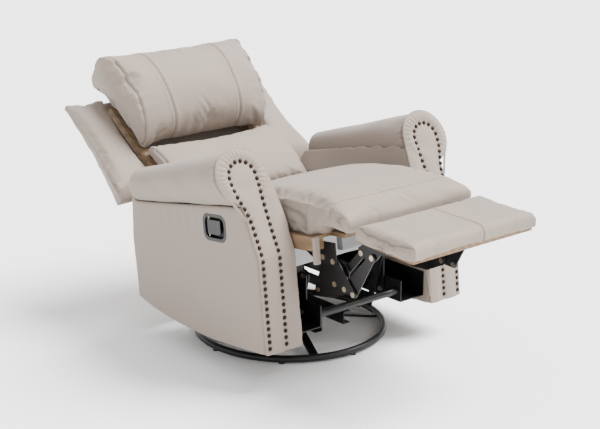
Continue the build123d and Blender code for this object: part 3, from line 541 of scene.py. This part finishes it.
# ---------------------------------------------------------------- seat and back
def build_seat_cushion(settings):
    """Crowned seat with a border across its nose, side seams and a hollow for the linkage."""
    piece = soft_copy("seat_cushion_soft", "seat_cushion")
    remesh(piece, 6.5)
    relax(piece, 14)
    inflate(piece, settings.pressure, 24, shrink=4.0)
    subdivide(piece)
    x, y, _ = BODY.local(points_of(piece))
    normal = normals_of(piece) @ np.array(BODY.up)
    top = normal > 0.25
    border = SEAT_BORDER_Y + 10 * (x / SEAT_HALF) ** 2
    side_seam = np.abs(x) - SEAT_SEAM_X
    front = y < border
    sew(piece, y - border, 3.2, 3.6, 1.2, where=(normal > -0.1) & (np.abs(x) < 243))
    sew(piece, side_seam, 2.8, 3.2, 1.0, where=(normal > -0.2) & (y < 96))
    pucker(piece, y - border, x, 0.9, 30, 41, 1.0, where=top)
    pucker(piece, side_seam, y, 0.8, 24, 33, 2.0, where=top & ~front)
    crease = np.exp(-(((y + 0.12 * np.abs(x) - 20) / 60) ** 2)) * (np.abs(x) < 235)
    push(piece, ripple(points_of(piece), (150.0, 34.0, 60.0), 3) * crease * top * 0.0016)
    rumple(piece, 1.3, (95.0, 70.0, 80.0), 5)
    x, y, z = BODY.local(points_of(piece))
    roof = np.interp(y, (-590, -580, -500, -440, -436), (400, 412, 428, 429, 380))
    lift = np.clip(roof - z, 0, 60) * (y < -436)
    set_points(piece, points_of(piece) + BODY.spread(0 * x, 0 * x, lift))
    dress(piece, "cover_fabric", "seat", ["seat_cushion"])


def build_footrest_cushion(settings):
    """Flat pad with soft edges, two lengthwise seams and a border seam at each side."""
    piece = soft_copy("footrest_cushion_soft", "footrest_cushion")
    remesh(piece, 5.5)
    relax(piece, 12)
    inflate(piece, settings.pressure, 10, shrink=3.0)
    subdivide(piece)
    x, y, z = FOOT.local(points_of(piece))
    normal = normals_of(piece) @ np.array(FOOT.up)
    shown = (normal > -0.35) & (z > 6)
    lengthwise = x - (26 + 8 * np.clip(-y / 225, 0, 1))
    side_seam = np.abs(x) - FOOT_SEAM_X
    sew(piece, lengthwise, 3.0, 3.4, 1.1, where=shown)
    sew(piece, x + 154, 0.8, 2.2, 0.3, 0.35, where=shown)
    sew(piece, side_seam, 2.4, 3.0, 0.9, where=shown)
    pucker(piece, side_seam, y, 0.8, 20, 27, 3.0, where=shown)
    pucker(piece, lengthwise, y, 0.6, 16, 31, 1.0, where=shown)
    rumple(piece, 1.2, (120.0, 60.0, 60.0), 7)
    dress(piece, "cover_fabric", "footrest", ["footrest_cushion"])


def build_lumbar_cushion(settings):
    """Full-width cushion under the pillow, squashed a little as the back is raised."""
    piece = soft_copy("lumbar_cushion_soft", "lumbar_cushion")
    points = points_of(piece)
    x, _, z = BACK.local(points)
    points += BACK.spread(0 * x, 0 * x, (z - CREASE_Z) * (LUMBAR_STRETCH - 1))
    set_points(piece, points)
    remesh(piece, 6.0)
    relax(piece, 16)
    inflate(piece, settings.pressure, 20, shrink=4.0)
    subdivide(piece)
    x, _, z = BACK.local(points_of(piece))
    front = normals_of(piece) @ -np.array(BACK.rear) > 0.05
    side_seam = np.abs(x) - LUMBAR_SEAM_X
    sew(piece, side_seam, 2.6, 3.2, 1.0, where=front)
    dart = np.abs(x) - 205 - (CREASE_Z - z) * 0.9
    sew(piece, dart, 2.4, 3.4, 0.8, where=front & (z > 78))
    pucker(piece, CREASE_Z - z, x, 1.6, 26, 38, 2.0, where=front)
    pucker(piece, side_seam, z, 0.9, 26, 29, 1.0, where=front)
    rumple(piece, 1.4, (90.0, 90.0, 60.0), 11)
    dress(piece, "cover_fabric", None, ["lumbar_cushion"])
    tuple(BACK.at(0, 0, CREASE_Z))
    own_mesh(piece)
    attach(piece, "back")


def build_head_pillow(settings):
    """Full pillow with two curved seams down its front, gussets at its sides and a folded foot."""
    piece = soft_copy("head_pillow_soft", "head_pillow")
    remesh(piece, 6.5)
    relax(piece, 40)
    inflate(piece, settings.pressure * 1.2, 26, shrink=5.0)
    subdivide(piece)
    x, y, z = BACK.local(points_of(piece))
    front = (normals_of(piece) @ -np.array(BACK.rear) > -0.25) | (z > 440)
    line = 128 + 13 * np.sin((z - PILLOW_FOOT) / PILLOW_TALL * math.pi * 0.5)
    sew(piece, np.abs(x) - line, 3.2, 3.4, 1.4, where=front & (z > 120))
    half = PILLOW_HALF + PILLOW_FLARE * (z - PILLOW_FOOT) / PILLOW_TALL
    side = np.abs(x) - (half - 17 - 10 * np.exp(-((y + 157) / 60) ** 2))
    sew(piece, side, 3.0, 3.2, 1.2, where=front & (z > 128))
    corner = np.abs(z - 428 - 0.10 * (y + 150))
    sew(piece, corner, 2.2, 3.0, 0.8, where=(np.abs(x) > half - 40) & (y < -30))
    pucker(piece, side, z, 1.1, 30, 31, 1.0, where=front)
    pucker(piece, z - 120, x, 2.4, 34, 44, 4.0, where=front & (z < 230))
    rumple(piece, 1.6, (120.0, 100.0, 90.0), 13)
    dress(piece, "cover_fabric", "back", ["head_pillow"])


def build_wings(settings):
    """Padded side wings of the back, each with a border seam round its front."""
    for word, side in SIDES.items():
        piece = soft_copy(f"wing_{word}_soft", f"wing_{word}")
        remesh(piece, 6.0)
        relax(piece, 22)
        inflate(piece, settings.pressure, 16, shrink=3.5)
        subdivide(piece)
        x, y, z = BACK.local(points_of(piece))
        front = normals_of(piece) @ -np.array(BACK.rear)
        outer = side * x
        edge = np.hypot(outer - 394, y - 12)
        sew(piece, edge, 3.4, 3.6, 1.4, where=(outer > 350) & (y < 40))
        crown = np.hypot(z - 374, y - 12)
        sew(piece, crown, 3.0, 3.6, 1.2, where=(z > 340) & (y < 40))
        pucker(piece, outer - 392, z, 1.6, 26, 46, 1.0 + side, where=front > 0.2)
        pucker(piece, z - 372, outer, 1.4, 26, 37, 2.0 + side, where=front > 0.2)
        rumple(piece, 1.8, (80.0, 110.0, 110.0), 17 + side)
        dress(piece, "cover_fabric", "back", [f"wing_{word}"])


def build_back_cover(settings):
    """Covered panel behind the back, pulled flat over its frame, with a top-stitched hem."""
    piece = soft_copy("back_cover_soft", "back_cover")
    remesh(piece, 3.6)
    relax(piece, 4)
    x, _, z = BACK.local(points_of(piece))
    rear = normals_of(piece) @ np.array(BACK.rear) > 0.3
    sew(piece, x, 1.2, 2.6, 0.4, 0.8, where=rear)
    sew(piece, z - 352, 1.0, 2.2, 0.4, 0.8, where=rear)
    sew(piece, z + 176, 1.0, 2.2, 0.4, 0.8, where=rear)
    pucker(piece, np.abs(x) - 244, z, 0.9, 30, 36, 1.0, where=rear)
    rumple(piece, 0.9, (120.0, 120.0, 120.0), 19)
    dress(piece, "cover_fabric", "back", ["back_cover"])


# ---------------------------------------------------------------- arms
def welt_route(radius, foot, steps=13):
    """(x, height) of the welt on an arm's facing: over the roll and down the inner edge."""
    route = [(ARM_OUTER, 110)]
    for step in range(steps):
        turn = math.radians(-50 + 230 * step / (steps - 1))
        route.append((ROLL_X + radius * math.cos(turn), ROLL_REACH + radius * math.sin(turn)))
    return route + [(ARM_INNER + 9, ROLL_REACH - 44), (ARM_INNER + 1, ROLL_REACH - 112),
                    (ARM_INNER, 40), (ARM_INNER, foot)]


def on_facing(side, x, height, proud):
    """A row-frame point on an arm's facing: upright below the knee and leaned back above it."""
    if height < 0:
        return BODY.at(side * x, KNEE[0] - proud, KNEE[1] + height)
    return SLANT.at(side * x, -proud, height)


def nail_places(word):
    """Middles of an arm's nailheads, from the packed ones."""
    bm = bmesh.new()
    bm.from_mesh(frame["nodes"][f"nailheads_{word}"].data)
    bmesh.ops.remove_doubles(bm, verts=bm.verts, dist=1e-5)
    unseen = set(bm.verts)
    middles = []
    while unseen:
        first = min(unseen, key=lambda vert: vert.index)
        island = {first}
        queue = [first]
        while queue:
            for edge in queue.pop().link_edges:
                for vert in edge.verts:
                    if vert not in island:
                        island.add(vert)
                        queue.append(vert)
        unseen -= island
        middles.append(sum((vert.co for vert in island), Vector()) / len(island))
    bm.free()
    return middles


def facing_field(side, points):
    """x outward and height up the facing of each point, in mm."""
    x, _, z = BODY.local(points)
    _, _, up = SLANT.local(points)
    return side * x, np.where(z < KNEE[1], z - KNEE[1], up)


def build_arm_facings(settings):
    """Padded facings, drawn in by their nails and pleated round the roll."""
    for word, side in SIDES.items():
        piece = soft_copy(f"arm_front_{word}_soft", f"arm_front_{word}")
        remesh(piece, 3.6)
        relax(piece, 5)
        subdivide(piece)
        points = points_of(piece)
        x, height = facing_field(side, points)
        front = normals_of(piece) @ -np.array(SLANT.rear) > 0.3
        ring = np.hypot(x - ROLL_X, height - ROLL_REACH)
        turn = np.arctan2(height - ROLL_REACH, x - ROLL_X)
        nearest = np.full(len(points), 1e9)
        for nail in np.array(nail_places(word)):
            nearest = np.minimum(nearest, np.linalg.norm(points - nail, axis=1) * 1000)
        move = 5.0 * np.exp(-(((ring - 66) / 15) ** 2))
        between = np.clip(1 - np.abs(x - 347) / 26, 0, 1)
        low = height < ROLL_REACH - 30
        blend = np.clip((ROLL_REACH - 18 - height) / 50, 0, 1)
        blend = blend * blend * (3 - 2 * blend)
        panel = 2.4 * np.sqrt(between) + 2.0 * np.exp(-(((x - 285) / 17) ** 2))
        move = move * (1 - blend) + panel * blend
        dome = np.clip(1 - ring / 40, 0, 1)
        move = move + 2.2 * dome * (2 - dome) * (1 - blend)
        move -= 2.4 * np.exp(-((nearest / 8.0) ** 2))
        pleats = np.cos(turn * 16 + 0.5 * np.sin(turn * 5)) ** 8
        fade = np.clip((ring - 50) / 12, 0, 1) * np.clip((90 - ring) / 14, 0, 1)
        move -= 2.0 * pleats * fade * (1 - blend)
        knee = np.exp(-((height / 9) ** 2))
        move -= 1.6 * knee * (0.6 + 0.4 * np.sin(x / 9))
        side_pull = np.sin(height / 6.1 + np.sin(height / 17))
        move += 0.5 * (side_pull * np.exp(-np.abs(x - 372) / 12) * low)
        set_points(piece, points + normals_of(piece) * (move * front / 1000)[:, None])
        # Painted shade in the dimple round each nail, carried by the seam attribute and darkened in the cloth's
        # shader.
        mark_seam_and_painted_shade(piece, np.exp(-((nearest / 6.5) ** 2)) * 0.35 * front)
        rumple(piece, 0.7, (60.0, 60.0, 60.0), 23 + side)
        dress(piece, "cover_fabric", "chassis", [f"arm_front_{word}"])
        route = [on_facing(side, x, height, 4.5)
                 for x, height in welt_route(ROLL_RADIUS + 0.5, -252)]
        welt = tube_along(f"arm_welt_{word}", route, 3.4)
        subdivide(welt)
        rumple(welt, 0.35, (26.0, 26.0, 26.0), 29 + side)
        dress(welt, "cover_fabric", "chassis")


def build_nailheads(settings):
    """Domed nails, each a turned cap with a soft edge, standing in their rows."""
    for word in SIDES:
        bm = bmesh.new()
        for spot in nail_places(word):
            _, _, height = BODY.local(np.array([spot]))
            lean = SLANT if height[0] > KNEE[1] else BODY
            made = bmesh.ops.create_icosphere(bm, subdivisions=2, radius=settings.nail_radius)
            for vert in made["verts"]:
                across, up, out = vert.co
                proud = max(out, -0.0004) * 0.72
                vert.co = (spot + lean.rear * (0.0013 - proud) + Vector((across, 0, 0))
                           + lean.up * up)
        bmesh.ops.recalc_face_normals(bm, faces=bm.faces)
        piece = from_bmesh(f"nailheads_{word}_domed", bm)
        dress(piece, "bronze_nail", "chassis", [f"nailheads_{word}"])


def build_arm_rolls(settings):
    """Rolled arm tops, gathered a little behind their front seam."""
    for word, side in SIDES.items():
        piece = soft_copy(f"arm_roll_{word}_soft", f"arm_roll_{word}")
        remesh(piece, 5.5)
        relax(piece, 5)
        inflate(piece, settings.pressure * 0.6, 5, shrink=2.5)
        subdivide(piece)
        x, along, up = SLANT.local(points_of(piece))
        arc = np.arctan2(up - ROLL_REACH, side * x - ROLL_X) * ROLL_RADIUS
        sew(piece, along - 9, 1.8, 2.6, 0.9, 0.75, where=along > 2)
        pucker(piece, along - 9, arc, 1.3, 16, 19, 1.0 + side, where=along > 4)
        rumple(piece, 1.6, (60.0, 140.0, 60.0), 31 + side)
        near_seam = np.exp(-np.abs(along - 10) / 70)
        push(piece, ripple(points_of(piece), (34.0, 90.0, 34.0), 37 + side) * near_seam * 0.0012)
        dress(piece, "cover_fabric", "chassis", [f"arm_roll_{word}"])


def build_arm_panels(settings):
    """Covered arm walls with soft corners, pulled smooth over the boards."""
    for word, side in SIDES.items():
        piece = soft_copy(f"arm_body_{word}_soft", f"arm_body_{word}")
        remesh(piece, 4.6)
        relax(piece, 5)
        x, y, z = BODY.local(points_of(piece))
        outward = normals_of(piece)[:, 0] * side
        pad = 2.2 * np.clip(outward, 0, 1) * (side * x > ARM_OUTER - 6)
        fade = np.clip((y + 360) / 60, 0, 1) * np.clip((240 - y) / 60, 0, 1)
        push(piece, pad * fade / 1000)
        outside = (outward > 0.4) & (side * x > ARM_OUTER - 8)
        pucker(piece, z - (470 - 0.13 * (y + 284)), y, 0.9, 34, 47, 2.0 + side, where=outside)
        rumple(piece, 1.1, (80.0, 170.0, 120.0), 41 + side)
        dress(piece, "cover_fabric", "chassis", [f"arm_body_{word}"])


def build_seat_drops(settings):
    """Covered end panels under the seat's front, the wrapped front rail and the hanging lining."""
    ends = soft_copy("seat_end_panels_soft", "seat_end_panels")
    remesh(ends, 2.6)
    relax(ends, 5)
    rumple(ends, 0.8, (30.0, 30.0, 60.0), 43)
    dress(ends, "cover_fabric", "seat", ["seat_end_panels"])
    rail = soft_copy("seat_front_rail_soft", "seat_front_rail")
    remesh(rail, 2.6)
    relax(rail, 4)
    rumple(rail, 0.7, (60.0, 30.0, 30.0), 47)
    dress(rail, "grey_wrap", "seat", ["seat_front_rail"])
    low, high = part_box("seat_lining")
    middle = (low + high) / 2
    width = high.x - low.x
    drop = 108.0
    bm = bmesh.new()
    bmesh.ops.create_grid(bm, x_segments=80, y_segments=22, size=0.5)
    _, y, z = BODY.local(np.array([middle]))
    for vert in bm.verts:
        wave = 1.6 * math.sin(vert.co.x * 34) * (0.5 - vert.co.y)
        vert.co = BODY.at(vert.co.x * width * 1000, y[0] + wave - 0.4, z[0] + vert.co.y * drop)
    lining = from_bmesh("seat_lining_cloth", bm)
    solid = lining.modifiers.new("Cloth thickness", "SOLIDIFY")
    solid.thickness = 0.0008
    solid.offset = 0.0
    dress(lining, "white_lining", None, ["seat_lining"])
    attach(lining, "seat")


# ---------------------------------------------------------------- frame finishes and stage
def build_frame_finishes(settings):
    """The packed frame's own pieces, each in its record's finish."""
    slots = {entry["node"]: entry["material_slot"] for entry in frame["record"]["subparts"]}
    for name, node in frame["nodes"].items():
        node.data.materials.clear()
        node.data.materials.append(MATERIALS[slots[name]])
        for face in node.data.polygons:
            face.material_index = 0


def aimed(name, data, place, direction):
    """Adds a light or the camera, looking along a direction."""
    holder = bpy.data.objects.new(name, data)
    holder.location = place
    holder.rotation_euler = Vector(direction).to_track_quat("-Z", "Y").to_euler()
    bpy.context.scene.collection.objects.link(holder)
    return holder


def build_stage(settings):
    """Pale floor, soft lights and the camera."""
    bm = bmesh.new()
    bmesh.ops.create_grid(bm, x_segments=1, y_segments=1, size=30.0)
    floor = from_bmesh("studio_floor", bm)
    floor.data.materials.append(floor_paper("studio_paper", (0.95, 0.95, 0.95, 1.0)))
    world = bpy.data.worlds.new("Studio")
    bpy.context.scene.world = world
    world.use_nodes = True
    background = world.node_tree.nodes["Background"]
    background.inputs["Color"].default_value = (1.0, 1.0, 1.0, 1.0)
    background.inputs["Strength"].default_value = settings.ambient
    sun = bpy.data.lights.new("Key", "SUN")
    sun.energy = settings.key
    sun.angle = math.radians(38)
    aimed("Key", sun, (0, 0, 0), SUN_DIRECTION)
    lamp = bpy.data.lights.new("Front fill", "AREA")
    lamp.energy = settings.fill_light
    lamp.size = 2.0
    aimed("Front fill", lamp, FILL_PLACE, Vector(FILL_AIM) - Vector(FILL_PLACE))
    camera = bpy.data.cameras.new("Camera")
    camera.lens = settings.lens
    camera.sensor_width = 36.0
    bpy.context.scene.camera = aimed("Camera", camera, CAMERA_PLACE, CAMERA_DIRECTION)


# ---------------------------------------------------------------- add-on
class ChairSettings(bpy.types.PropertyGroup):
    """Sizes and colours that a user would change."""

    cover_colour: FloatVectorProperty(name="Cover colour", description="Colour of the upholstery",
                                      subtype="COLOR", size=3, min=0, max=1, default=(0.245, 0.198, 0.164))
    steel_colour: FloatVectorProperty(name="Steel colour", description="Colour of the coated steel frame",
                                      subtype="COLOR", size=3, min=0, max=1, default=(0.0035, 0.0035, 0.004))
    nail_colour: FloatVectorProperty(name="Nail colour", description="Colour of the nailheads",
                                     subtype="COLOR", size=3, min=0, max=1, default=(0.022, 0.014, 0.010))
    nail_radius: FloatProperty(name="Nail radius", description="Radius of a nailhead",
                               unit="LENGTH", default=0.0062, min=0.003, max=0.010)
    pressure: FloatProperty(name="Stuffing pressure", description="How hard the cushions are stuffed",
                            default=4.0, min=0.5, max=12.0)
    fill: FloatProperty(name="Fill", description="How full the cushions are, from slack to tight",
                        subtype="FACTOR", default=0.75, min=0.0, max=1.0)


class StudioSettings(bpy.types.PropertyGroup):
    """Light and lens of the stage."""

    ambient: FloatProperty(name="Ambient", description="Strength of the light from all round",
                           default=1.45, min=0.0, max=4.0)
    key: FloatProperty(name="Key", description="Strength of the sun-like main light",
                       default=9.5, min=0.0, max=20.0)
    fill_light: FloatProperty(name="Front fill", description="Power of the front light in watts",
                              default=14.0, min=0.0, max=1000.0)
    lens: FloatProperty(name="Lens", description="Focal length of the camera in millimetres",
                        default=86.2, min=20.0, max=300.0)


def chair_operator(name, label, build, group="glider_chair"):
    """An operator that runs one build function with its settings."""

    def execute(self, context):
        make_materials(context.scene.glider_chair)
        build(getattr(context.scene, group))
        return {"FINISHED"}

    return type("CHAIR_OT_" + name, (bpy.types.Operator,), {
        "__doc__": build.__doc__,
        "bl_idname": "chair." + name,
        "bl_label": label,
        "bl_options": {"REGISTER", "UNDO"},
        "execute": execute,
    })


OPERATORS = (
    chair_operator("frame_finishes", "Frame finishes", build_frame_finishes),
    chair_operator("seat_cushion", "Seat cushion", build_seat_cushion),
    chair_operator("footrest_cushion", "Footrest cushion", build_footrest_cushion),
    chair_operator("lumbar_cushion", "Lumbar cushion", build_lumbar_cushion),
    chair_operator("head_pillow", "Head pillow", build_head_pillow),
    chair_operator("wings", "Back wings", build_wings),
    chair_operator("back_cover", "Back cover", build_back_cover),
    chair_operator("arm_facings", "Arm facings and welts", build_arm_facings),
    chair_operator("nailheads", "Nailheads", build_nailheads),
    chair_operator("arm_rolls", "Arm rolls", build_arm_rolls),
    chair_operator("arm_panels", "Arm panels", build_arm_panels),
    chair_operator("seat_drops", "Seat ends, rail and lining", build_seat_drops),
    chair_operator("stage", "Studio stage", build_stage, "glider_studio"),
)


class CHAIR_PT_panel(bpy.types.Panel):
    """Lists the chair's pieces and settings"""

    bl_idname = "CHAIR_PT_panel"
    bl_label = "Nursery Glider Chair"
    bl_space_type = "VIEW_3D"
    bl_region_type = "UI"
    bl_category = "Glider Chair"

    def draw(self, context):
        for group in (context.scene.glider_chair, context.scene.glider_studio):
            for name in group.__annotations__:
                self.layout.prop(group, name)
        for operator in OPERATORS:
            self.layout.operator(operator.bl_idname)


CLASSES = (ChairSettings, StudioSettings, *OPERATORS, CHAIR_PT_panel)


def register():
    for item in CLASSES:
        bpy.utils.register_class(item)
    bpy.types.Scene.glider_chair = PointerProperty(type=ChairSettings)
    bpy.types.Scene.glider_studio = PointerProperty(type=StudioSettings)


def unregister():
    del bpy.types.Scene.glider_chair
    del bpy.types.Scene.glider_studio
    for item in reversed(CLASSES):
        bpy.utils.unregister_class(item)


def main():
    register()
    for operator in OPERATORS:
        group, name = operator.bl_idname.split(".")
        getattr(getattr(bpy.ops, group), name)()


if __name__ == "__main__":
    main()
